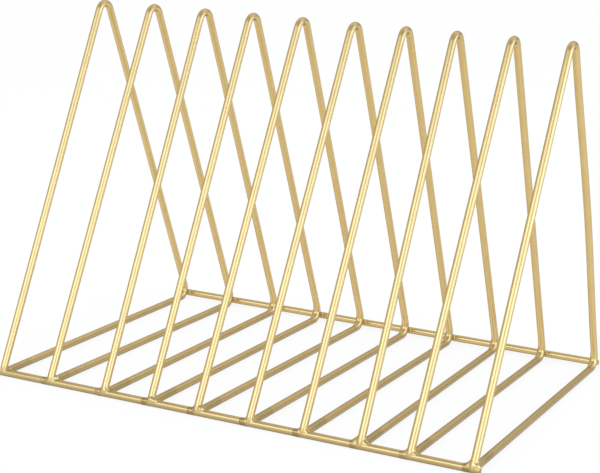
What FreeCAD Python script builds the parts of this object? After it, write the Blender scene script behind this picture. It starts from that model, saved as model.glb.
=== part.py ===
import FreeCAD, Part
import math
import os
import Sketcher

# Triangular magazine rack: ten bent-wire dividers that lie on the floor, welded to two rails along it.
# X runs along the rails, Y from the front rail to the rear rail, Z up from the floor.
# The origin is on the floor, midway between the two rails and between their ends.

# Driving sizes in millimetres
SIZES = {
    # The wire that every piece is made of, with its coat
    "wire_diameter": 4.5,
    # Divider to divider along the rails
    "divider_pitch": 34.0,
    # Front to rear corner of the triangle, where the straight axes would meet
    "base_length": 226.0,
    # Tip of the triangle, where the axes of the two legs would meet, above the base bar's axis
    "tip_height": 226.0,
    # Bends of the wire, measured on its axis
    "tip_bend_radius": 7.0,
    "elbow_radius": 3.0,
    # How far the front rail lies behind the triangle's corner, so that the legs come down over its front
    "rail_set_back": 1.0,
    # How far the rear rail is held off the floor by the elbows in front of it
    "rear_rail_lift": 1.1,
    # Gap between two wires that the weld fills
    "weld_gap": 0.2,
    # How far each bead stands out from the wire that it covers
    "foot_bead_rise": 0.45,
    "end_bead_rise": 0.65,
    "rear_bead_rise": 0.65,
    # How far the tail of a fillet sinks into the wire that it runs out on
    "fillet_sink": 0.25,
    # Bevel around the rails' cut ends
    "rail_end_bevel": 0.4,
}

# The dividers were set by hand. From the left, these are the millimetres by which each foot stands
# and each tip leans to the right of its even place.
FOOT_SHIFTS = (0, 2, 5, 4, 2, 2, 1, 1, -2, 0)
TIP_SHIFTS = (-3, 0, 3, 3, 3, 4, 3, 1, 2, 3)
# From the left, the radius of the hollow curve in which the weld runs from each front leg out into the rail,
# on the left and on the right of the leg. An end divider has no rail beyond it to run out on.
LEFT_HOLLOWS = (None, 2.5, 3.5, 2.5, 3.0, 2.5, 3.0, 5.5, 4.5, 5.5)
RIGHT_HOLLOWS = (2.5, 3.5, 2.5, 3.5, 3.5, 3.5, 3.5, 4.5, 4.0, None)
DIVIDER_COUNT = len(FOOT_SHIFTS)

# Sizes that follow from the sheet, as expressions for the document
WIRE_RADIUS = "(sizes.wire_diameter / 2)"
SPAN = f"(sizes.divider_pitch * {DIVIDER_COUNT - 1})"
CORNER_Y = "(sizes.base_length / 2)"
BASE_ANGLE = "atan(2 * sizes.tip_height / sizes.base_length)"
# The base bar stops where its upper edge comes within the weld gap of the front leg
BAR_END_Y = f"({CORNER_Y} - ({WIRE_RADIUS} * (1 + cos({BASE_ANGLE})) + sizes.weld_gap) / sin({BASE_ANGLE}))"
# In the frame of a divider, the front rail lies on the floor under the end of the leg,
# and the rear rail lies against the outside of the elbow
FRONT_RAIL_Y = f"(sizes.rail_set_back - {CORNER_Y})"
ELBOW_CENTRE_Y = f"({CORNER_Y} - sizes.elbow_radius / tan({BASE_ANGLE} / 2))"
RAIL_REACH = "(sizes.elbow_radius + sizes.wire_diameter + sizes.weld_gap)"
RAIL_DROP = "(sizes.elbow_radius - sizes.rear_rail_lift)"
REAR_RAIL_Y = f"({ELBOW_CENTRE_Y} + sqrt({RAIL_REACH} ^ 2 - {RAIL_DROP} ^ 2))"
# The rails lie equally far from the origin, which sets the dividers' place between them
RAIL_Y = f"(({REAR_RAIL_Y} - {FRONT_RAIL_Y}) / 2)"
DIVIDER_Y = f"({RAIL_Y} - {REAR_RAIL_Y})"
# The leg ends short of the corner by this share of the wire's diameter, inside the weld
LEG_END_SHARE = 0.25
LEG_END_HEIGHT = f"({LEG_END_SHARE} * sizes.wire_diameter * sin({BASE_ANGLE}))"
# Where the elbow and the rear rail meet, as a share of the way from the elbow's centre to the rail
MEETING_SHARE = f"((sizes.elbow_radius + (sizes.wire_diameter + sizes.weld_gap) / 2) / {RAIL_REACH})"
FILLET_TUBE = f"({WIRE_RADIUS} - sizes.fillet_sink)"

SKETCH_NORMAL = FreeCAD.Vector(0, 0, 1)

doc = FreeCAD.newDocument("magazine_rack")


def fill_sheet():
    """Put every driving size into a named cell."""
    values = dict(SIZES)
    by_divider = zip(FOOT_SHIFTS, TIP_SHIFTS, LEFT_HOLLOWS, RIGHT_HOLLOWS)
    for number, (foot, tip, left_hollow, right_hollow) in enumerate(by_divider, start=1):
        values[f"foot_shift_{number:02d}"] = foot
        values[f"tip_shift_{number:02d}"] = tip
        if left_hollow:
            values[f"left_hollow_{number:02d}"] = left_hollow
        if right_hollow:
            values[f"right_hollow_{number:02d}"] = right_hollow
    sheet = doc.addObject("Spreadsheet::Sheet", "sizes")
    for row, (alias, value) in enumerate(values.items(), start=1):
        sheet.set(f"A{row}", alias)
        sheet.set(f"B{row}", str(value))
        sheet.setAlias(f"B{row}", alias)
    doc.recompute()


def new_sketch(body, name, role):
    """An empty sketch on one of the body's own origin planes."""
    plane = next(feature for feature in body.Origin.OriginFeatures if feature.Role == role)
    sketch = body.newObject("Sketcher::SketchObject", name)
    sketch.AttachmentSupport = (plane, "")
    sketch.MapMode = "FlatFace"
    return sketch


def start_of(curve):
    """The point where a sketched curve starts, or a point that stands alone."""
    return curve, 1


def end_of(curve):
    """The point where a sketched curve ends."""
    return curve, 2


def centre_of(curve):
    """The centre of a sketched circle."""
    return curve, 3


def horizontal_axis():
    """The number by which a sketch knows its own horizontal axis."""
    return -1


def vertical_axis():
    """The number by which a sketch knows its own vertical axis."""
    return -2


def sketch_origin():
    """The point where a sketch's own axes start."""
    return start_of(horizontal_axis())


def constrain(sketch, *rule):
    """Add a plain geometric rule to a sketch."""
    sketch.addConstraint(Sketcher.Constraint(*rule))


def dimension(sketch, name, expression, *rule):
    """Add a dimension to a sketch and tie it to the sheet."""
    index = sketch.addConstraint(Sketcher.Constraint(*rule))
    sketch.renameConstraint(index, name)
    sketch.setExpression(f"Constraints.{name}", expression)


def guess_divider_path(sketch):
    """Lay out the wire's axis near its final place and return its five stretches in order."""
    half = SIZES["base_length"] / 2
    height = SIZES["tip_height"]
    elbow = SIZES["elbow_radius"]
    bend = SIZES["tip_bend_radius"]
    slope = math.atan2(height, half)
    outward = math.pi / 2 - slope
    elbow_centre = FreeCAD.Vector(half - elbow / math.tan(slope / 2), elbow)
    tip_centre = FreeCAD.Vector(0, height - bend / math.cos(slope))
    rear_normal = FreeCAD.Vector(math.cos(outward), math.sin(outward))
    front_normal = FreeCAD.Vector(-math.cos(outward), math.sin(outward))
    short_of_corner = LEG_END_SHARE * SIZES["wire_diameter"]
    leg_end = FreeCAD.Vector(short_of_corner * math.cos(slope) - half, short_of_corner * math.sin(slope))
    curves = (
        Part.LineSegment(FreeCAD.Vector(elbow - half, 0), FreeCAD.Vector(elbow_centre.x, 0)),
        Part.ArcOfCircle(Part.Circle(elbow_centre, SKETCH_NORMAL, elbow), -math.pi / 2, outward),
        Part.LineSegment(elbow_centre + rear_normal * elbow, tip_centre + rear_normal * bend),
        Part.ArcOfCircle(Part.Circle(tip_centre, SKETCH_NORMAL, bend), outward, math.pi - outward),
        Part.LineSegment(tip_centre + front_normal * bend, leg_end),
    )
    return [sketch.addGeometry(curve) for curve in curves]


def draw_divider_path(sketch):
    """The wire's axis: base bar, elbow, rear leg, tip bend and front leg."""
    stretches = guess_divider_path(sketch)
    base_bar, elbow_arc, rear_leg, tip_arc, front_leg = stretches
    half = SIZES["base_length"] / 2
    height = SIZES["tip_height"]
    front_corner = sketch.addGeometry(Part.Point(FreeCAD.Vector(-half, 0)), True)
    rear_corner = sketch.addGeometry(Part.Point(FreeCAD.Vector(half, 0)), True)
    tip = sketch.addGeometry(Part.Point(FreeCAD.Vector(0, height)), True)

    for before, after in zip(stretches, stretches[1:]):
        constrain(sketch, "Tangent", *end_of(before), *start_of(after))
    constrain(sketch, "Horizontal", base_bar)
    constrain(sketch, "PointOnObject", *start_of(base_bar), horizontal_axis())
    constrain(sketch, "PointOnObject", *start_of(front_corner), horizontal_axis())
    constrain(sketch, "PointOnObject", *start_of(front_corner), front_leg)
    constrain(sketch, "PointOnObject", *start_of(rear_corner), horizontal_axis())
    constrain(sketch, "PointOnObject", *start_of(rear_corner), rear_leg)
    constrain(sketch, "PointOnObject", *start_of(tip), vertical_axis())
    constrain(sketch, "PointOnObject", *start_of(tip), rear_leg)
    constrain(sketch, "PointOnObject", *start_of(tip), front_leg)

    middle = sketch_origin()
    dimension(sketch, "bar_end", BAR_END_Y, "DistanceX", *start_of(base_bar), *middle, half)
    dimension(sketch, "rear_reach", CORNER_Y, "DistanceX", *middle, *start_of(rear_corner), half)
    dimension(sketch, "front_reach", CORNER_Y, "DistanceX", *start_of(front_corner), *middle, half)
    leg_end_height = LEG_END_SHARE * SIZES["wire_diameter"]
    dimension(sketch, "leg_end", LEG_END_HEIGHT, "DistanceY", *middle, *end_of(front_leg), leg_end_height)
    dimension(sketch, "rise", "sizes.tip_height", "DistanceY", *middle, *start_of(tip), height)
    dimension(sketch, "elbow", "sizes.elbow_radius", "Radius", elbow_arc, SIZES["elbow_radius"])
    dimension(sketch, "tip_bend", "sizes.tip_bend_radius", "Radius", tip_arc, SIZES["tip_bend_radius"])


def draw_wire_section(sketch):
    """The round section of the wire, on the sketch's origin."""
    radius = SIZES["wire_diameter"] / 2
    circle = sketch.addGeometry(Part.Circle(FreeCAD.Vector(0, 0), SKETCH_NORMAL, radius))
    constrain(sketch, "Coincident", *centre_of(circle), *sketch_origin())
    dimension(sketch, "radius", WIRE_RADIUS, "Radius", circle, radius)


def draw_rail_seat(sketch):
    """The front rail seen from its end, larger by the weld gap, where the front leg lands on it."""
    half = SIZES["base_length"] / 2
    radius = SIZES["wire_diameter"] / 2 + SIZES["weld_gap"]
    circle = sketch.addGeometry(Part.Circle(FreeCAD.Vector(-half, 0), SKETCH_NORMAL, radius))
    constrain(sketch, "PointOnObject", *centre_of(circle), horizontal_axis())
    dimension(sketch, "reach", f"-{FRONT_RAIL_Y}", "DistanceX", *centre_of(circle), *sketch_origin(), half)
    dimension(sketch, "radius", f"{WIRE_RADIUS} + sizes.weld_gap", "Radius", circle, radius)


def make_divider(number):
    """One wire bent into a triangle, its foot coped to sit on the front rail."""
    name = f"divider_{number:02d}"
    body = doc.addObject("PartDesign::Body", name)
    body.Label = name
    path = new_sketch(body, f"{name}_path", "YZ_Plane")
    draw_divider_path(path)
    section = new_sketch(body, f"{name}_section", "XZ_Plane")
    section.setExpression(".AttachmentOffset.Base.z", BAR_END_Y)
    draw_wire_section(section)
    wire = body.newObject("PartDesign::AdditivePipe", f"{name}_wire")
    wire.Profile = section
    wire.Spine = path
    doc.recompute()

    seat = new_sketch(body, f"{name}_seat", "YZ_Plane")
    draw_rail_seat(seat)
    cope = body.newObject("PartDesign::Pocket", f"{name}_cope")
    cope.Profile = seat
    cope.SideType = "Symmetric"
    cope.setExpression("Length", "2 * sizes.wire_diameter")
    doc.recompute()
    if cope.Shape.Volume >= wire.Shape.Volume:
        raise RuntimeError(f"The cope of {name} cut nothing")

    # The triangle leans about the axis of its base bar
    foot = f"sizes.foot_shift_{number:02d}"
    tip = f"sizes.tip_shift_{number:02d}"
    body.Placement.Rotation = FreeCAD.Rotation(FreeCAD.Vector(0, 1, 0), 1)
    body.setExpression(".Placement.Rotation.Angle", f"asin(({tip} - {foot}) / sizes.tip_height)")
    body.setExpression(".Placement.Base.x", f"sizes.divider_pitch * {number - 1} - {SPAN} / 2 + {foot}")
    body.setExpression(".Placement.Base.y", DIVIDER_Y)
    body.setExpression(".Placement.Base.z", WIRE_RADIUS)
    return body


def make_rail(name, y, z):
    """A straight wire along the floor, flush with the outer sides of the end dividers."""
    body = doc.addObject("PartDesign::Body", name)
    body.Label = name
    section = new_sketch(body, f"{name}_section", "YZ_Plane")
    draw_wire_section(section)
    bar = body.newObject("PartDesign::Pad", f"{name}_bar")
    bar.Profile = section
    bar.SideType = "Symmetric"
    bar.setExpression("Length", f"{SPAN} + sizes.wire_diameter")
    doc.recompute()
    faces = enumerate(bar.Shape.Faces, start=1)
    cut_ends = [f"Face{index}" for index, face in faces if isinstance(face.Surface, Part.Plane)]
    bevel = body.newObject("PartDesign::Chamfer", f"{name}_bevel")
    bevel.Base = (bar, cut_ends)
    bevel.setExpression("Size", "sizes.rail_end_bevel")
    body.setExpression(".Placement.Base.y", y)
    body.setExpression(".Placement.Base.z", z)
    return body


def put_on_divider(thing, divider, x, y, z, turn="rotation(0; 0; 0)"):
    """Place a piece of weld by the divider's own frame, so that it follows the divider."""
    thing.setExpression("Placement", f"{divider.Name}.Placement * placement(vector({x}; {y}; {z}); {turn})")


def make_bead(name, rise):
    """A ball of weld that stands out from a wire by its rise."""
    bead = doc.addObject("Part::Sphere", name)
    bead.setExpression("Radius", f"{WIRE_RADIUS} + {rise}")
    return bead


def make_fillet(name, divider, side, hollow):
    """A quarter ring that runs from the front leg out into the rail, on one side of the leg."""
    radius = f"({FILLET_TUBE} + {hollow})"
    # The ring starts on the leg's axis and ends on the rail's, which lies behind it
    slope = f"({BASE_ANGLE} + asin(sizes.rail_set_back * sin({BASE_ANGLE}) / {radius}))"
    ring = doc.addObject("Part::Torus", name)
    ring.setExpression("Radius1", radius)
    ring.setExpression("Radius2", FILLET_TUBE)
    ring.Angle3 = 90
    if side == "right":
        x = radius
        turn = f"rotation(180; 0; -{slope})"
    else:
        x = f"-{radius}"
        turn = f"rotation(-90; {slope}; 0)"
    y = f"{radius} * cos({slope}) + {FRONT_RAIL_Y}"
    put_on_divider(ring, divider, x, y, f"{radius} * sin({slope})", turn)
    return ring


def cut_away(weld, label, wires):
    """Leave only what lies outside the wires that a weld joins."""
    for wire in wires:
        cut = doc.addObject("Part::Cut", f"{label}_beside_{wire.Name}")
        cut.Base = weld
        cut.Tool = wire
        weld = cut
    weld.Label = label
    return weld


def make_front_weld(number, divider):
    """The weld that joins a leg's foot and the end of its base bar to the front rail."""
    label = f"front_weld_{number:02d}"
    foot = make_bead(f"{label}_foot", "sizes.foot_bead_rise")
    foot_y = f"{WIRE_RADIUS} * cos({BASE_ANGLE}) - {CORNER_Y}"
    put_on_divider(foot, divider, 0, foot_y, f"{WIRE_RADIUS} * sin({BASE_ANGLE})")
    bar_end = make_bead(f"{label}_bar_end", "sizes.end_bead_rise")
    put_on_divider(bar_end, divider, 0, f"-{BAR_END_Y}", "2 * sizes.end_bead_rise")

    pieces = [foot, bar_end]
    for side, hollows in (("left", LEFT_HOLLOWS), ("right", RIGHT_HOLLOWS)):
        if hollows[number - 1]:
            hollow = f"sizes.{side}_hollow_{number:02d}"
            pieces.append(make_fillet(f"{label}_{side}", divider, side, hollow))
    whole = doc.addObject("Part::MultiFuse", f"{label}_whole")
    whole.Shapes = pieces
    return cut_away(whole, label, (divider, front_rail))


def make_rear_weld(number, divider):
    """The weld in the nook between an elbow and the rear rail."""
    label = f"rear_weld_{number:02d}"
    bead = make_bead(f"{label}_bead", "sizes.rear_bead_rise")
    y = f"{ELBOW_CENTRE_Y} + ({REAR_RAIL_Y} - {ELBOW_CENTRE_Y}) * {MEETING_SHARE}"
    z = f"sizes.elbow_radius - {RAIL_DROP} * {MEETING_SHARE}"
    put_on_divider(bead, divider, 0, y, z)
    return cut_away(bead, label, (divider, rear_rail))


def check_document(pieces):
    """Stop if an object failed, or if a piece is empty, broken or in more than one solid."""
    for thing in doc.Objects:
        if "Invalid" in thing.State or "Error" in thing.State:
            raise RuntimeError(f"{thing.Name} failed: {thing.State}")
    for piece in pieces:
        if piece.Shape.isNull() or not piece.Shape.isValid() or len(piece.Shape.Solids) != 1:
            raise RuntimeError(f"{piece.Label} is not one sound solid")


fill_sheet()
dividers = [make_divider(number) for number in range(1, DIVIDER_COUNT + 1)]
front_rail = make_rail("front_rail", f"-{RAIL_Y}", WIRE_RADIUS)
rear_rail = make_rail("rear_rail", RAIL_Y, f"{WIRE_RADIUS} + sizes.rear_rail_lift")
welds = []
for number, divider in enumerate(dividers, start=1):
    welds.append(make_front_weld(number, divider))
    welds.append(make_rear_weld(number, divider))
doc.recompute()

rack = dividers + [front_rail, rear_rail] + welds
check_document(rack)
os.makedirs("parts", exist_ok=True)
for piece in rack:
    piece.Shape.exportStep(f"parts/{piece.Label}.step")
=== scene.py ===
import math

import bmesh
import bpy
import numpy as np
from mathutils import Matrix, Vector, noise


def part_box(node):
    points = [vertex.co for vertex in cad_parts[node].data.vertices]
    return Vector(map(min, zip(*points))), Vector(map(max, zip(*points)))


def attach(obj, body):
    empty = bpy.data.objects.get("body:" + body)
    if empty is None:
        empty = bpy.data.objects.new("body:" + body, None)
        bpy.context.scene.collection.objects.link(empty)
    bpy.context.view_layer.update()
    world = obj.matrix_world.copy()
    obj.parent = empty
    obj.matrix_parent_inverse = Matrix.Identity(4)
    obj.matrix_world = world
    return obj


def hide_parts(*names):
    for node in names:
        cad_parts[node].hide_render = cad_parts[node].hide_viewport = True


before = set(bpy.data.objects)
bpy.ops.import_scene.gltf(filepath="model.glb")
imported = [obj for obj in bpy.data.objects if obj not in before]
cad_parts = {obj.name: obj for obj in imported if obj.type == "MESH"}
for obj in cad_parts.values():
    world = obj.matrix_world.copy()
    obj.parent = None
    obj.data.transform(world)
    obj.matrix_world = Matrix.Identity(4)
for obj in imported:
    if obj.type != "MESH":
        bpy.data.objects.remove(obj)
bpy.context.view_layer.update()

# Triangular magazine rack of gold-coated wire. Everything is in metres, in the frame of the CAD model:
# X along the rails, Y from the front rail to the rear rail, Z up from the floor.
DIVIDER_COUNT = 10

# The triangle that each wire is bent to, along the wire's axis. The elbows are looser than in the CAD model.
BASE_LENGTH = 0.226
TIP_HEIGHT = 0.226
TIP_BEND_RADIUS = 0.007
ELBOW_RADIUS = 0.0055
BASE_ANGLE = math.atan2(2 * TIP_HEIGHT, BASE_LENGTH)
# How far the front rail lies behind the triangle's corner. The leg bends over into it from a start this far
# up from the corner, and the bend sets out towards a place lower on the leg.
RAIL_SET_BACK = 0.001
FOOT_BEND_START = 0.0055
FOOT_BEND_AIM = 0.0016

# How far a divider is turned from square, if it is: its front foot to the right, its elbow as far to the left
TURNS = {1: 0.0010, 2: -0.0005, 3: 0.0009, 5: -0.0010, 6: -0.0009, 8: 0.0014, 10: 0.0005}
# How far a rear leg is bowed sideways at the middle of its length, by divider
REAR_LEG_BOWS = {10: 0.0012}

# How finely a wire is divided
WIRE_SIDES = 40
STRAIGHT_STEP = 0.008
BEND_STEP = math.radians(5)
CURVE_STEPS = 10
# The rim around the cut ends of the rails
RAIL_RIM = 0.0004

# From the left, how far each front weld runs up the leg and out along the rail, on either side of the leg.
# The first divider has no rail on its left.
LEFT_FLOWS = (None, 0.0050, 0.0060, 0.0050, 0.0060, 0.0055, 0.0060, 0.0090, 0.0068, 0.0085)
RIGHT_FLOWS = (0.0050, 0.0060, 0.0050, 0.0060, 0.0060, 0.0060, 0.0065, 0.0080, 0.0068, 0.0095)
# Drops of weld by divider: how far to the right of the foot, behind the rail's axis and above it, and radius
DROPS = {
    1: ((0.0030, 0.0016, 0.0022, 0.0014),),
    2: ((0.0032, 0.0012, 0.0026, 0.0018),),
    3: ((-0.0042, -0.0011, 0.0010, 0.0013), (0.0002, 0.0003, 0.0015, 0.0028)),
    4: ((0.0004, 0.0, 0.0017, 0.0028), (0.0028, -0.0006, 0.0014, 0.0020)),
    5: ((0.0024, -0.0004, 0.0022, 0.0021), (-0.0004, -0.0012, 0.0005, 0.0014)),
    10: ((0.0018, -0.0004, 0.0020, 0.0018),),
}
DROP_ROUNDING = 3
# The sides on which a weld also fills the corner with a web, by divider: minus one left, one right. How far
# the web runs, as a share of the flow, and its radius.
WEBS = {8: (-1, 1), 10: (1,)}
WEB_SHARE = 0.72
WEB_RADIUS = 0.0012
# The front welds on the left are lumpy, the others ran out smooth. Some of both stand out around the foot.
LUMPY_FRONT_WELDS = (2, 3, 4, 5)
BOOTED_FRONT_WELDS = (2, 3, 4, 5, 8, 9, 10)

# The skin of a weld is sunk into the wires where it runs out. It stands out on the rail to the left of the
# foot and around the end of the base bar, which it follows this far from the foot.
SKIN_SINK = 0.0001
LEG_SINK = 0.0003
PATCH_RISE = 0.0001
PATCH_REACH = 0.006
COLLAR_RISE = 0.0001
COLLAR_REACH = 0.0065
# How far a weld stands out around the foot of the leg, and from how far up
BOOT_RISE = 0.0004
BOOT_REACH = 0.008
# The weld between an elbow and the rear rail, how far its skin stands out on the rail and how far it spreads
BRIDGE_RADIUS = 0.0022
REAR_SKIN_RISE = 0.00003
REAR_SKIN_REACH = 0.0055
# How far the fill inside each elbow runs along the bar and up the leg from the triangle's corner, and how far
# it bulges at its middle
ELBOW_FILL_REACH = 0.0150
ELBOW_FILL_RISE = 0.0004
# How finely the skins are divided and how much they are smoothed
SKIN_SIDES = 24
SKIN_VOXEL = 0.00036
SMOOTHING_STRENGTH = 0.5
SKIN_SMOOTHING = 8
LUMPY_SMOOTHING = 4
# Lumps of the welds: size across, height where they are lumpy and where they are smooth, and reach
LUMP_SIZE = 0.0022
LUMP_HEIGHT = 0.00025
SMOOTH_LUMP_HEIGHT = 0.00006
LUMP_REACH = 0.0065

# The gold coat: clouds of two tones, its tint where it is seen at a low angle, and a clear layer over it
DARKER_GOLD = (0.68, 0.50, 0.207, 1)
LIGHTER_GOLD = (0.72, 0.53, 0.220, 1)
CLOUD_SCALE = 90
CLOUD_DETAIL = 5
CLOUD_START = 0.30
CLOUD_END = 0.70
LOW_ANGLE_TINT = (0.5, 0.48, 0.46, 1)
CLEAR_LAYER = 0.5
CLEAR_LAYER_ROUGHNESS = 0.12
# The coat's roughness, which varies a little from place to place
SHEEN_SCALE = 260
SHEEN_DETAIL = 3
LEAST_ROUGHNESS = 0.26
MOST_ROUGHNESS = 0.30
# The fine pits of the coat, and the grain of the drawn wire, which is stretched around it and along it
PIT_SCALE = 900
PIT_DETAIL = 2
PIT_DEPTH = 0.00002
GRAIN_STRETCH = (60, 12, 1)
GRAIN_SCALE = 1
GRAIN_DETAIL = 4
GRAIN_DEPTH = 0.00001
# How strongly each shows on the wires and on the welds
WIRE_GRAIN = 0.05
WIRE_PITS = 0.02
WELD_GRAIN = 0.0
WELD_PITS = 0.25
# Painted shade: how much darker the coat is painted low on the wires, where they lie on the floor and its
# shade falls, and between which heights
SHADE_LOW = 0.0008
SHADE_HIGH = 0.0038
SHADE_GREY = 0.48
# Where the coat of a front weld is browned, partly by the heat of welding and partly as painted shade, by the
# place
# where the foot meets the rail: on the rail to the left of the foot and at the start of the base bar. After
# each place come how far around it the coat is brown all through and how far the browning reaches.
WELD_BURNS_AND_PAINTED_SHADES = (
    ((-0.0042, 0, 0), 0.0022, 0.0058),
    ((0, 0.0045, 0), 0.0022, 0.0058),
)
WELD_BURN_AND_SHADE_BROWN = (0.44, 0.30, 0.105, 1)
# Further along, the base bars are painted a little browner as painted shade, all in one line this far behind
# the front rail
BAR_PAINTED_SHADE_DISTANCE = 0.0158
BAR_PAINTED_SHADE_CORE = 0.008
BAR_PAINTED_SHADE_REACH = 0.014
BAR_PAINTED_SHADE_BROWN = (0.55, 0.405, 0.16, 1)
# From which strength of a browned spot the coat begins to turn brown, and at which it is all brown
BROWN_START = 0.15
BROWN_END = 0.50
# The directions in which the distance from a browned spot counts
EVERY_WAY = (1, 1, 1)
ACROSS_RAILS = (0, 1, 1)

# Camera, as fitted to the wires in the photograph
IMAGE_WIDTH = 600
SENSOR_WIDTH = 36.0
FOCAL_PIXELS = 1675.6
CAMERA_AZIMUTH = 25.983
CAMERA_ELEVATION = 12.723
CAMERA_ROLL = math.radians(2.448)
CAMERA_DISTANCE = 1.0414
CAMERA_TARGET = Vector((-0.00958, -0.0018, 0.08626))
NEAREST_VIEW = 0.05
FARTHEST_VIEW = 50

# The studio: a floor of white paper, of which a share shines by itself, and white light from all round
RACK_CENTRE = Vector((0, 0, TIP_HEIGHT / 2))
FLOOR_REACH = 12.0
PAPER_WHITE = (0.92, 0.92, 0.92, 1)
FLOOR_WHITE_SHARE = 0.86
WORLD_WHITE = (1, 1, 1, 1)
WORLD_LIGHT = 0.98
# The ceiling in front and the wall behind, by how high the direction points: nought at eye level, one upright
CEILING_START = 0.5
CEILING_END = 0.85
CEILING_GREY = 0.52
WALL_START = 0.0
WALL_END = 0.65
WALL_GREY = 0.5
WALL_WHITE = 0.93
# Where the front passes into the back, by how far the direction points backwards: one straight back
BACK_START = -0.1
BACK_END = 0.5
# The left side, by how far the direction points to the left: minus one straight left
SIDE_START = -0.95
SIDE_END = -0.65
SIDE_GREY = 0.72
# Cool light from the softboxes, the more so on the right
SOFTBOX_DISTANCE = 3.0
COOL = (0.76, 0.995, 1.40)
COOLER = (0.73, 1.005, 1.49)


def node_points(name):
    """The corners of a CAD node's mesh, one row each."""
    return np.array([vertex.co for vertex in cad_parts[name].data.vertices])


def middle_of(values):
    """Halfway between the lowest and the highest of some values."""
    return (values.min() + values.max()) / 2


def box_middle(node):
    """The middle of a CAD node's box."""
    low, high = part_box(node)
    return (low + high) / 2


RAIL_LOW, RAIL_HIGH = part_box("front_rail")
WIRE_RADIUS = (RAIL_HIGH.z - RAIL_LOW.z) / 2
FRONT_RAIL = box_middle("front_rail")
REAR_RAIL = box_middle("rear_rail")
# Where the rails start on the left and end on the right: the front rail was set a little to the right, and on
# the right the rear rail was cut a little shorter
FRONT_RAIL_START = RAIL_LOW.x + 0.0012
FRONT_RAIL_END = RAIL_HIGH.x + 0.0022
REAR_RAIL_START = RAIL_LOW.x
REAR_RAIL_END = RAIL_HIGH.x - 0.0020
BAR_PAINTED_SHADES = (
    ((0, FRONT_RAIL.y + BAR_PAINTED_SHADE_DISTANCE, FRONT_RAIL.z), BAR_PAINTED_SHADE_CORE, BAR_PAINTED_SHADE_REACH),
)


def divider_placement(number):
    """Where a divider stands and how it leans, read from its CAD node, and how it is turned."""
    points = node_points(f"divider_{number:02d}")
    heights = points[:, 2]
    at_tip = points[heights > heights.max() - WIRE_RADIUS]
    foot_x = middle_of(points[heights < 2 * WIRE_RADIUS, 0])
    tip_x = middle_of(at_tip[:, 0])
    lean = math.atan2(tip_x - foot_x, heights.max() - 2 * WIRE_RADIUS)
    turn = math.asin(2 * TURNS.get(number, 0.0) / BASE_LENGTH)
    foot = Vector((foot_x, middle_of(at_tip[:, 1]), WIRE_RADIUS))
    return Matrix.Translation(foot) @ Matrix.Rotation(turn, 4, "Z") @ Matrix.Rotation(lean, 4, "Y")


def straight_run(start, end):
    """Evenly spaced points on a straight stretch, both ends included."""
    count = max(2, math.ceil((end - start).length / STRAIGHT_STEP))
    return [start.lerp(end, index / count) for index in range(count + 1)]


def bend_run(centre, radius, start_angle, end_angle):
    """Evenly spaced points on a bend in the plane of the triangle, without its two ends."""
    count = math.ceil((end_angle - start_angle) / BEND_STEP)
    points = []
    for index in range(1, count):
        angle = start_angle + (end_angle - start_angle) * index / count
        points.append(centre + Vector((0, math.cos(angle), math.sin(angle))) * radius)
    return points


def curve_run(start, bend, end):
    """Points on a curve that leaves the start towards the bend and reaches the end from it."""
    points = []
    for index in range(CURVE_STEPS + 1):
        share = index / CURVE_STEPS
        points.append(start.lerp(bend, share).lerp(bend.lerp(end, share), share))
    return points


def bowed(points, bow):
    """A straight stretch pushed sideways at its middle, its two ends left as they are."""
    last = len(points) - 1
    moved = []
    for index, point in enumerate(points):
        push = bow * math.sin(math.pi * index / last) ** 2
        moved.append(point + Vector((push, 0, 0)))
    return moved


def on_front_leg(distance):
    """A point on the axis of an upright divider's front leg, this far up from the corner."""
    corner = Vector((0, -BASE_LENGTH / 2, 0))
    return corner + Vector((0, math.cos(BASE_ANGLE), math.sin(BASE_ANGLE))) * distance


def divider_stretches(rear_bow=0.0):
    """The axis of an upright divider: base bar, elbow, rear leg, tip and front leg, each a list of points."""
    half = BASE_LENGTH / 2
    outward = math.pi / 2 - BASE_ANGLE
    elbow_centre = Vector((0, half - ELBOW_RADIUS / math.tan(BASE_ANGLE / 2), ELBOW_RADIUS))
    tip_centre = Vector((0, 0, TIP_HEIGHT - TIP_BEND_RADIUS / math.cos(BASE_ANGLE)))
    rear_normal = Vector((0, math.cos(outward), math.sin(outward)))
    front_normal = Vector((0, -math.cos(outward), math.sin(outward)))
    # The bar starts and the leg ends inside the rail, into which the leg bends over
    on_rail = Vector((0, RAIL_SET_BACK - half, 0))
    base_bar = straight_run(on_rail, Vector((0, elbow_centre.y, 0)))
    elbow = bend_run(elbow_centre, ELBOW_RADIUS, -math.pi / 2, outward)
    rear_leg_start = elbow_centre + rear_normal * ELBOW_RADIUS
    rear_leg = straight_run(rear_leg_start, tip_centre + rear_normal * TIP_BEND_RADIUS)
    tip = bend_run(tip_centre, TIP_BEND_RADIUS, outward, math.pi - outward)
    front_leg = straight_run(tip_centre + front_normal * TIP_BEND_RADIUS, on_front_leg(FOOT_BEND_START))
    foot = curve_run(on_front_leg(FOOT_BEND_START), on_front_leg(FOOT_BEND_AIM), on_rail)[1:]
    return base_bar, elbow, bowed(rear_leg, rear_bow), tip, front_leg + foot


def ring_frames(points):
    """Two directions across the wire at each point, turned as little as possible from ring to ring."""
    tangents = []
    for index in range(len(points)):
        before = points[max(index - 1, 0)]
        after = points[min(index + 1, len(points) - 1)]
        tangents.append((after - before).normalized())
    across = tangents[0].orthogonal().normalized()
    frames = []
    for tangent in tangents:
        across = (across - tangent * across.dot(tangent)).normalized()
        frames.append((across, tangent.cross(across)))
    return frames


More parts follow.
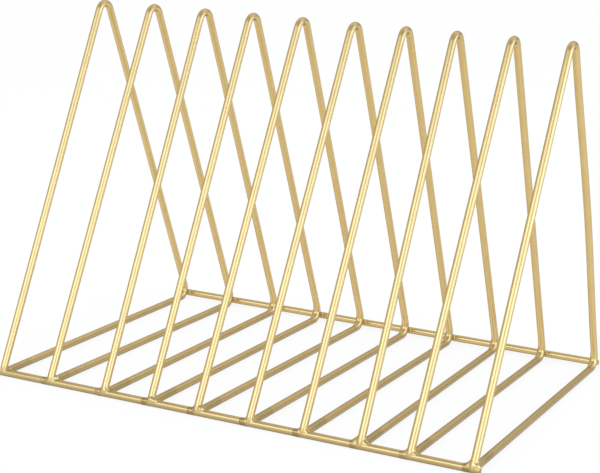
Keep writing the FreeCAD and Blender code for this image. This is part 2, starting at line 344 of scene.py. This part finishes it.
def add_tube(mesh, points, radii, sides):
    """A closed round tube through the points. Its texture runs once around and by length along the wire."""
    uv_layer = mesh.loops.layers.uv.verify()
    rings = []
    travel = [0.0]
    for before, after in zip(points, points[1:]):
        travel.append(travel[-1] + (after - before).length)
    for point, radius, (across, up) in zip(points, radii, ring_frames(points)):
        ring = []
        for side in range(sides):
            angle = 2 * math.pi * side / sides
            ring.append(mesh.verts.new(point + (across * math.cos(angle) + up * math.sin(angle)) * radius))
        rings.append(ring)
    for index, (ring, next_ring) in enumerate(zip(rings, rings[1:])):
        for side in range(sides):
            following = (side + 1) % sides
            face = mesh.faces.new((ring[side], ring[following], next_ring[following], next_ring[side]))
            face.smooth = True
            lengths = (travel[index], travel[index], travel[index + 1], travel[index + 1])
            turns = (side, side + 1, side + 1, side)
            for loop, turn, length in zip(face.loops, turns, lengths):
                loop[uv_layer].uv = (turn / sides, length)
    for rim in (list(reversed(rings[0])), rings[-1]):
        for edge in mesh.faces.new(rim).edges:
            edge.smooth = False


def finish_piece(mesh, name, material, node, origin=(0, 0, 0)):
    """Make the mesh a piece of the rack that stands for a CAD node. Its texture starts from the origin."""
    data = bpy.data.meshes.new(name)
    bmesh.ops.translate(mesh, verts=mesh.verts, vec=-Vector(origin))
    mesh.to_mesh(data)
    mesh.free()
    data.materials.append(material)
    piece = bpy.data.objects.new(name, data)
    piece.location = origin
    bpy.context.scene.collection.objects.link(piece)
    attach(piece, "root")
    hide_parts(node)


def make_divider(number, placement, material):
    """One bent wire."""
    stretches = divider_stretches(REAR_LEG_BOWS.get(number, 0.0))
    points = [placement @ point for stretch in stretches for point in stretch]
    # Both ends lie inside the rail
    inner_radius = WIRE_RADIUS - SKIN_SINK
    radii = [inner_radius] + [WIRE_RADIUS] * (len(points) - 2) + [inner_radius]
    mesh = bmesh.new()
    add_tube(mesh, points, radii, WIRE_SIDES)
    finish_piece(mesh, f"wire_divider_{number:02d}", material, f"divider_{number:02d}")


def make_rail(node, material, left_end, right_end):
    """A straight wire with a small rim around its two cut ends."""
    middle = box_middle(node)
    start = Vector((left_end, middle.y, middle.z))
    end = Vector((right_end, middle.y, middle.z))
    rim = Vector((RAIL_RIM, 0, 0))
    run = [start + rim] + straight_run(start + 2 * rim, end - 2 * rim) + [end - rim]
    points = [start] + run + [end]
    radii = [WIRE_RADIUS - RAIL_RIM] + [WIRE_RADIUS] * len(run) + [WIRE_RADIUS - RAIL_RIM]
    mesh = bmesh.new()
    add_tube(mesh, points, radii, WIRE_SIDES)
    finish_piece(mesh, f"wire_{node}", material, node)


def add_sleeve(mesh, points, start_rise, end_rise):
    """A tapering tube around a stretch of wire, standing out from it by the given rise at each end."""
    last = len(points) - 1
    radii = []
    for index in range(len(points)):
        share = index / last
        radii.append(WIRE_RADIUS + start_rise * (1 - share) + end_rise * share)
    add_tube(mesh, points, radii, SKIN_SIDES)


def add_drop(mesh, centre, radius):
    """A ball of weld."""
    bmesh.ops.create_icosphere(
        mesh, subdivisions=DROP_ROUNDING, radius=radius, matrix=Matrix.Translation(centre))


def melt(mesh, name, smoothing):
    """Melt overlapping tubes and drops into one smoothed skin."""
    data = bpy.data.meshes.new(name)
    mesh.to_mesh(data)
    mesh.free()
    rough = bpy.data.objects.new(f"{name}_rough", data)
    bpy.context.scene.collection.objects.link(rough)
    remesh = rough.modifiers.new("melt", "REMESH")
    remesh.mode = "VOXEL"
    remesh.voxel_size = SKIN_VOXEL
    soften = rough.modifiers.new("soften", "SMOOTH")
    soften.factor = SMOOTHING_STRENGTH
    soften.iterations = smoothing
    bpy.context.view_layer.update()
    melted = bpy.data.meshes.new_from_object(rough.evaluated_get(bpy.context.evaluated_depsgraph_get()))
    bpy.data.objects.remove(rough)
    skin = bmesh.new()
    skin.from_mesh(melted)
    bpy.data.meshes.remove(melted)
    return skin


def settle_skin(mesh, name, joint, lumpy, seed):
    """Melt the weld and its sleeves into one lumpy skin that stays above the floor."""
    skin = melt(mesh, name, LUMPY_SMOOTHING if lumpy else SKIN_SMOOTHING)
    skin.normal_update()
    for face in skin.faces:
        face.smooth = True
    lump_height = LUMP_HEIGHT if lumpy else SMOOTH_LUMP_HEIGHT
    for vertex in skin.verts:
        nearness = max(0.0, 1 - (vertex.co - joint).length / LUMP_REACH)
        lump = noise.noise(vertex.co / LUMP_SIZE + Vector((seed, 0, 0)))
        # The lumps run out over the outer half of their reach
        vertex.co += vertex.normal * lump * lump_height * min(1.0, 2 * nearness)
        vertex.co.z = max(vertex.co.z, 0.0)
    return skin


def beside_foot(on_rail, distance, margin=0.0):
    """A point on the front rail's axis this far to the right of a foot, a margin short of the rail's end."""
    return Vector((min(on_rail.x + distance, FRONT_RAIL_END - margin), on_rail.y, on_rail.z))


def add_flow(mesh, placement, on_rail, side, reach, webbed):
    """The weld that runs from a front leg out along the rail on one side, with a web in the corner or not."""
    run = curve_run(placement @ on_front_leg(reach), on_rail, beside_foot(on_rail, side * reach))
    add_sleeve(mesh, run, -LEG_SINK, -SKIN_SINK)
    if webbed:
        web_reach = reach * WEB_SHARE
        web_end = beside_foot(on_rail, side * web_reach, WEB_RADIUS)
        web = straight_run(placement @ on_front_leg(web_reach), web_end)
        add_tube(mesh, web, [WEB_RADIUS] * len(web), SKIN_SIDES)


def make_front_weld(number, placement, material):
    """The skin over the joint of a front leg, its base bar and the front rail."""
    node = f"front_weld_{number:02d}"
    on_rail = Vector(((placement @ on_front_leg(0)).x, FRONT_RAIL.y, FRONT_RAIL.z))
    behind = Vector((0, COLLAR_REACH, 0))
    mesh = bmesh.new()
    add_sleeve(mesh, straight_run(on_rail, on_rail + behind), COLLAR_RISE, -SKIN_SINK)
    for side, flows in ((-1, LEFT_FLOWS), (1, RIGHT_FLOWS)):
        if flows[number - 1]:
            add_flow(mesh, placement, on_rail, side, flows[number - 1], side in WEBS.get(number, ()))
    if LEFT_FLOWS[number - 1]:
        patch_end = on_rail - Vector((PATCH_REACH, 0, 0))
        add_sleeve(mesh, straight_run(on_rail, patch_end), PATCH_RISE, PATCH_RISE)
    for right, back, above, radius in DROPS.get(number, ()):
        add_drop(mesh, on_rail + Vector((right, back, above)), radius)
    if number in BOOTED_FRONT_WELDS:
        foot = [on_front_leg(BOOT_REACH)] + divider_stretches()[-1][-CURVE_STEPS:]
        add_sleeve(mesh, [placement @ point for point in foot], -SKIN_SINK, BOOT_RISE)
    skin = settle_skin(mesh, node, on_rail, number in LUMPY_FRONT_WELDS, number)
    finish_piece(skin, f"skin_{node}", material, node, on_rail)


def make_rear_weld(number, placement, material):
    """The weld between an elbow and the rear rail, and the fill inside the elbow."""
    node = f"rear_weld_{number:02d}"
    base_bar, elbow, rear_leg, _, _ = divider_stretches()
    elbow_run = [placement @ point for point in [base_bar[-1]] + elbow + [rear_leg[0]]]
    bend = elbow_run[len(elbow_run) // 2]
    on_rail = Vector((bend.x, REAR_RAIL.y, REAR_RAIL.z))
    mesh = bmesh.new()
    bridge = straight_run(bend, on_rail)
    add_tube(mesh, bridge, [BRIDGE_RADIUS] * len(bridge), SKIN_SIDES)
    for side in (-1, 1):
        end_x = min(max(on_rail.x + side * REAR_SKIN_REACH, REAR_RAIL_START), REAR_RAIL_END)
        far = Vector((end_x, on_rail.y, on_rail.z))
        add_sleeve(mesh, straight_run(on_rail, far), REAR_SKIN_RISE, -SKIN_SINK)
    corner = Vector((0, BASE_LENGTH / 2, 0))
    on_bar = corner - Vector((0, ELBOW_FILL_REACH, 0))
    on_leg = corner + Vector((0, -math.cos(BASE_ANGLE), math.sin(BASE_ANGLE))) * ELBOW_FILL_REACH
    fill = [placement @ point for point in curve_run(on_bar, corner, on_leg)]
    half = CURVE_STEPS // 2
    add_sleeve(mesh, fill[:half + 1], -SKIN_SINK, ELBOW_FILL_RISE)
    add_sleeve(mesh, fill[half:], ELBOW_FILL_RISE, -SKIN_SINK)
    skin = settle_skin(mesh, node, (on_rail + bend) / 2, False, DIVIDER_COUNT + number)
    finish_piece(skin, f"skin_{node}", material, node)


def add_fade(nodes, links, value, start, end, first, last):
    """A fade from a first level to a last one while a value goes from the start to the end."""
    fade = nodes.new("ShaderNodeMapRange")
    links.new(value, fade.inputs["Value"])
    fade.inputs["From Min"].default_value = start
    fade.inputs["From Max"].default_value = end
    fade.inputs["To Min"].default_value = first
    fade.inputs["To Max"].default_value = last
    return fade.outputs["Result"]


def add_noise(nodes, links, place, scale, detail):
    """A cloudy pattern, the finer the larger its scale."""
    pattern = nodes.new("ShaderNodeTexNoise")
    links.new(place, pattern.inputs["Vector"])
    pattern.inputs["Scale"].default_value = scale
    pattern.inputs["Detail"].default_value = detail
    return pattern.outputs["Fac"]


def add_bump(nodes, links, pattern, strength, depth):
    """A surface made uneven by a pattern."""
    bump = nodes.new("ShaderNodeBump")
    links.new(pattern, bump.inputs["Height"])
    bump.inputs["Strength"].default_value = strength
    bump.inputs["Distance"].default_value = depth
    return bump


def add_math(nodes, links, operation, first, second):
    """Two values put together by an operation."""
    step = nodes.new("ShaderNodeMath")
    step.operation = operation
    links.new(first, step.inputs[0])
    links.new(second, step.inputs[1])
    return step.outputs["Value"]


def add_distance(nodes, links, place, target, axes):
    """How far a place is from a target, counted along the given axes only."""
    counted = nodes.new("ShaderNodeVectorMath")
    counted.operation = "MULTIPLY"
    links.new(place, counted.inputs[0])
    counted.inputs[1].default_value = axes
    away = nodes.new("ShaderNodeVectorMath")
    away.operation = "DISTANCE"
    links.new(counted.outputs["Vector"], away.inputs[0])
    away.inputs[1].default_value = target
    return away.outputs["Value"]


def add_uneven_skin(nodes, links, position, own_place, grain, pits):
    """The fine pits of the coat over the grain of the drawn wire."""
    pitted = add_noise(nodes, links, position, PIT_SCALE, PIT_DETAIL)
    pit_bump = add_bump(nodes, links, pitted, pits, PIT_DEPTH)
    stretch = nodes.new("ShaderNodeMapping")
    stretch.inputs["Scale"].default_value = GRAIN_STRETCH
    links.new(own_place.outputs["UV"], stretch.inputs["Vector"])
    drawn = add_noise(nodes, links, stretch.outputs["Vector"], GRAIN_SCALE, GRAIN_DETAIL)
    drawn_bump = add_bump(nodes, links, drawn, grain, GRAIN_DEPTH)
    links.new(pit_bump.outputs["Normal"], drawn_bump.inputs["Normal"])
    return drawn_bump.outputs["Normal"]


def gold_coat(name, grain, pits, burns_and_shades, spot_axes, brown):
    """Satin gold coat: a warm base with faint clouding, a soft sheen and a fine uneven skin.

    It turns brown around the spots it is given: at the welds partly from the heat of welding and partly as
    painted shade, on the base bars as painted shade. Low on the wires it is painted darker, as painted shade
    where they lie on the floor. Each spot is a place by the piece's origin, how far it is brown all through
    and how far the browning reaches. The spot axes are the directions in which that distance counts.
    """
    material = bpy.data.materials.new(name)
    material.use_nodes = True
    nodes = material.node_tree.nodes
    links = material.node_tree.links
    shader = nodes["Principled BSDF"]
    shader.inputs["Metallic"].default_value = 1.0
    shader.inputs["Specular Tint"].default_value = LOW_ANGLE_TINT
    shader.inputs["Coat Weight"].default_value = CLEAR_LAYER
    shader.inputs["Coat Roughness"].default_value = CLEAR_LAYER_ROUGHNESS
    position = nodes.new("ShaderNodeNewGeometry").outputs["Position"]
    own_place = nodes.new("ShaderNodeTexCoord")

    clouds = add_noise(nodes, links, position, CLOUD_SCALE, CLOUD_DETAIL)
    tint = nodes.new("ShaderNodeValToRGB")
    darker, lighter = tint.color_ramp.elements
    darker.position = CLOUD_START
    darker.color = DARKER_GOLD
    lighter.position = CLOUD_END
    lighter.color = LIGHTER_GOLD
    links.new(clouds, tint.inputs["Fac"])
    colour = tint.outputs["Color"]
    # Brown around each spot: at the welds partly heat tint and partly painted shade, on the base bars painted
    # shade
    for spot, core, reach in burns_and_shades:
        away = add_distance(nodes, links, own_place.outputs["Object"], spot, spot_axes)
        darkening = add_fade(nodes, links, away, core, reach, 1.0, 0.0)
        patches = add_math(nodes, links, "MULTIPLY", darkening, clouds)
        browned = nodes.new("ShaderNodeMixRGB")
        links.new(add_fade(nodes, links, patches, BROWN_START, BROWN_END, 0.0, 1.0), browned.inputs["Fac"])
        links.new(colour, browned.inputs["Color1"])
        browned.inputs["Color2"].default_value = brown
        colour = browned.outputs["Color"]

    # Painted shade: the colour is darkened low on the wires, where they lie on the floor
    height = nodes.new("ShaderNodeSeparateXYZ")
    links.new(position, height.inputs["Vector"])
    shaded = nodes.new("ShaderNodeVectorMath")
    shaded.operation = "SCALE"
    links.new(colour, shaded.inputs["Vector"])
    floor_shade = add_fade(nodes, links, height.outputs["Z"], SHADE_LOW, SHADE_HIGH, SHADE_GREY, 1.0)
    links.new(floor_shade, shaded.inputs["Scale"])
    links.new(shaded.outputs["Vector"], shader.inputs["Base Color"])

    sheen = add_noise(nodes, links, position, SHEEN_SCALE, SHEEN_DETAIL)
    roughness = add_fade(nodes, links, sheen, 0.0, 1.0, LEAST_ROUGHNESS, MOST_ROUGHNESS)
    links.new(roughness, shader.inputs["Roughness"])
    uneven = add_uneven_skin(nodes, links, position, own_place, grain, pits)
    links.new(uneven, shader.inputs["Normal"])
    return material


def direction(azimuth, elevation):
    """The way from the rack towards a place around it. Azimuth 0 is straight in front, 90 to the right."""
    turn = math.radians(azimuth)
    rise = math.radians(elevation)
    return Vector((math.sin(turn) * math.cos(rise), -math.cos(turn) * math.cos(rise), math.sin(rise)))


def add_softbox(name, azimuth, elevation, width, height, colour, radiance):
    """A rectangular lamp that faces the rack."""
    lamp = bpy.data.lights.new(name, "AREA")
    lamp.shape = "RECTANGLE"
    lamp.size = width
    lamp.size_y = height
    lamp.color = colour
    lamp.energy = radiance * math.pi * width * height
    softbox = bpy.data.objects.new(name, lamp)
    bpy.context.scene.collection.objects.link(softbox)
    away = direction(azimuth, elevation)
    softbox.location = RACK_CENTRE + away * SOFTBOX_DISTANCE
    softbox.rotation_euler = away.to_track_quat("Z", "Y").to_euler()


def any_sight(nodes, links):
    """One for a ray from the camera or from a reflection, nought for the light that falls on a surface."""
    path = nodes.new("ShaderNodeLightPath").outputs
    camera_or_glossy = add_math(nodes, links, "MAXIMUM", path["Is Camera Ray"], path["Is Glossy Ray"])
    return add_math(nodes, links, "MAXIMUM", camera_or_glossy, path["Is Transmission Ray"])


def floor_paper():
    """White paper that keeps a faint shadow of the rack."""
    material = bpy.data.materials.new("floor_paper")
    material.use_nodes = True
    nodes = material.node_tree.nodes
    links = material.node_tree.links
    nodes.clear()
    output = nodes.new("ShaderNodeOutputMaterial")
    paper = nodes.new("ShaderNodeBsdfDiffuse")
    paper.inputs["Color"].default_value = PAPER_WHITE
    white = nodes.new("ShaderNodeEmission")
    white.inputs["Strength"].default_value = 1.0
    share = nodes.new("ShaderNodeMath")
    share.operation = "MULTIPLY"
    links.new(any_sight(nodes, links), share.inputs[0])
    share.inputs[1].default_value = FLOOR_WHITE_SHARE
    mix = nodes.new("ShaderNodeMixShader")
    links.new(share.outputs["Value"], mix.inputs["Fac"])
    links.new(paper.outputs["BSDF"], mix.inputs[1])
    links.new(white.outputs["Emission"], mix.inputs[2])
    links.new(mix.outputs["Shader"], output.inputs["Surface"])
    return material


def make_floor():
    """A wide pale floor."""
    mesh = bmesh.new()
    bmesh.ops.create_grid(mesh, x_segments=1, y_segments=1, size=FLOOR_REACH)
    data = bpy.data.meshes.new("floor")
    mesh.to_mesh(data)
    mesh.free()
    floor = bpy.data.objects.new("floor", data)
    bpy.context.scene.collection.objects.link(floor)
    data.materials.append(floor_paper())


def make_world():
    """White all round for what is seen directly or in a reflection, softer for the light that it gives."""
    world = bpy.data.worlds.new("studio")
    bpy.context.scene.world = world
    world.use_nodes = True
    nodes = world.node_tree.nodes
    links = world.node_tree.links
    nodes.clear()
    output = nodes.new("ShaderNodeOutputWorld")
    # In front white at eye level under a grey ceiling, behind grey at eye level and white above, and on the
    # left a little grey
    place = nodes.new("ShaderNodeTexCoord")
    parts = nodes.new("ShaderNodeSeparateXYZ")
    links.new(place.outputs["Generated"], parts.inputs["Vector"])
    ceiling = add_fade(nodes, links, parts.outputs["Z"], CEILING_START, CEILING_END, 1.0, CEILING_GREY)
    back_wall = add_fade(nodes, links, parts.outputs["Z"], WALL_START, WALL_END, WALL_GREY, WALL_WHITE)
    behind = add_fade(nodes, links, parts.outputs["Y"], BACK_START, BACK_END, 0.0, 1.0)
    left_side = add_fade(nodes, links, parts.outputs["X"], SIDE_START, SIDE_END, SIDE_GREY, 1.0)
    shade = nodes.new("ShaderNodeMixRGB")
    links.new(behind, shade.inputs["Fac"])
    links.new(ceiling, shade.inputs["Color1"])
    links.new(back_wall, shade.inputs["Color2"])
    seen = nodes.new("ShaderNodeBackground")
    links.new(shade.outputs["Color"], seen.inputs["Color"])
    links.new(left_side, seen.inputs["Strength"])
    given = nodes.new("ShaderNodeBackground")
    given.inputs["Color"].default_value = WORLD_WHITE
    given.inputs["Strength"].default_value = WORLD_LIGHT
    choice = nodes.new("ShaderNodeMixShader")
    links.new(any_sight(nodes, links), choice.inputs["Fac"])
    links.new(given.outputs["Background"], choice.inputs[1])
    links.new(seen.outputs["Background"], choice.inputs[2])
    links.new(choice.outputs["Shader"], output.inputs["Surface"])


def make_camera():
    """The camera at the photograph's place, looking at the rack with the photograph's slight tilt."""
    back = direction(CAMERA_AZIMUTH, CAMERA_ELEVATION)
    right = Vector((0, 0, 1)).cross(back).normalized()
    up = back.cross(right)
    tilted_right = right * math.cos(CAMERA_ROLL) + up * math.sin(CAMERA_ROLL)
    tilted_up = up * math.cos(CAMERA_ROLL) - right * math.sin(CAMERA_ROLL)
    lens = bpy.data.cameras.new("camera")
    lens.sensor_fit = "HORIZONTAL"
    lens.sensor_width = SENSOR_WIDTH
    lens.lens = FOCAL_PIXELS / IMAGE_WIDTH * SENSOR_WIDTH
    lens.clip_start = NEAREST_VIEW
    lens.clip_end = FARTHEST_VIEW
    camera = bpy.data.objects.new("camera", lens)
    bpy.context.scene.collection.objects.link(camera)
    turn = Matrix((tilted_right, tilted_up, back)).transposed().to_4x4()
    camera.matrix_world = Matrix.Translation(CAMERA_TARGET + back * CAMERA_DISTANCE) @ turn
    bpy.context.scene.camera = camera


# The rack
wire_coat = gold_coat("gold_wire", WIRE_GRAIN, WIRE_PITS, BAR_PAINTED_SHADES, ACROSS_RAILS, BAR_PAINTED_SHADE_BROWN)
front_weld_coat = gold_coat("gold_front_weld", WELD_GRAIN, WELD_PITS, WELD_BURNS_AND_PAINTED_SHADES, EVERY_WAY, WELD_BURN_AND_SHADE_BROWN)
rear_weld_coat = gold_coat("gold_rear_weld", WELD_GRAIN, WELD_PITS, (), EVERY_WAY, WELD_BURN_AND_SHADE_BROWN)
for number in range(1, DIVIDER_COUNT + 1):
    placement = divider_placement(number)
    make_divider(number, placement, wire_coat)
    make_front_weld(number, placement, front_weld_coat)
    make_rear_weld(number, placement, rear_weld_coat)
make_rail("front_rail", wire_coat, FRONT_RAIL_START, FRONT_RAIL_END)
make_rail("rear_rail", wire_coat, REAR_RAIL_START, REAR_RAIL_END)

# The studio
make_floor()
make_world()
add_softbox("softbox_left", azimuth=-12, elevation=32, width=2.7, height=1.5, colour=COOL, radiance=1.33)
add_softbox("softbox_right", azimuth=92, elevation=18, width=5.2, height=1.9, colour=COOLER, radiance=1.16)
make_camera()
bpy.context.scene.view_settings.view_transform = "Standard"
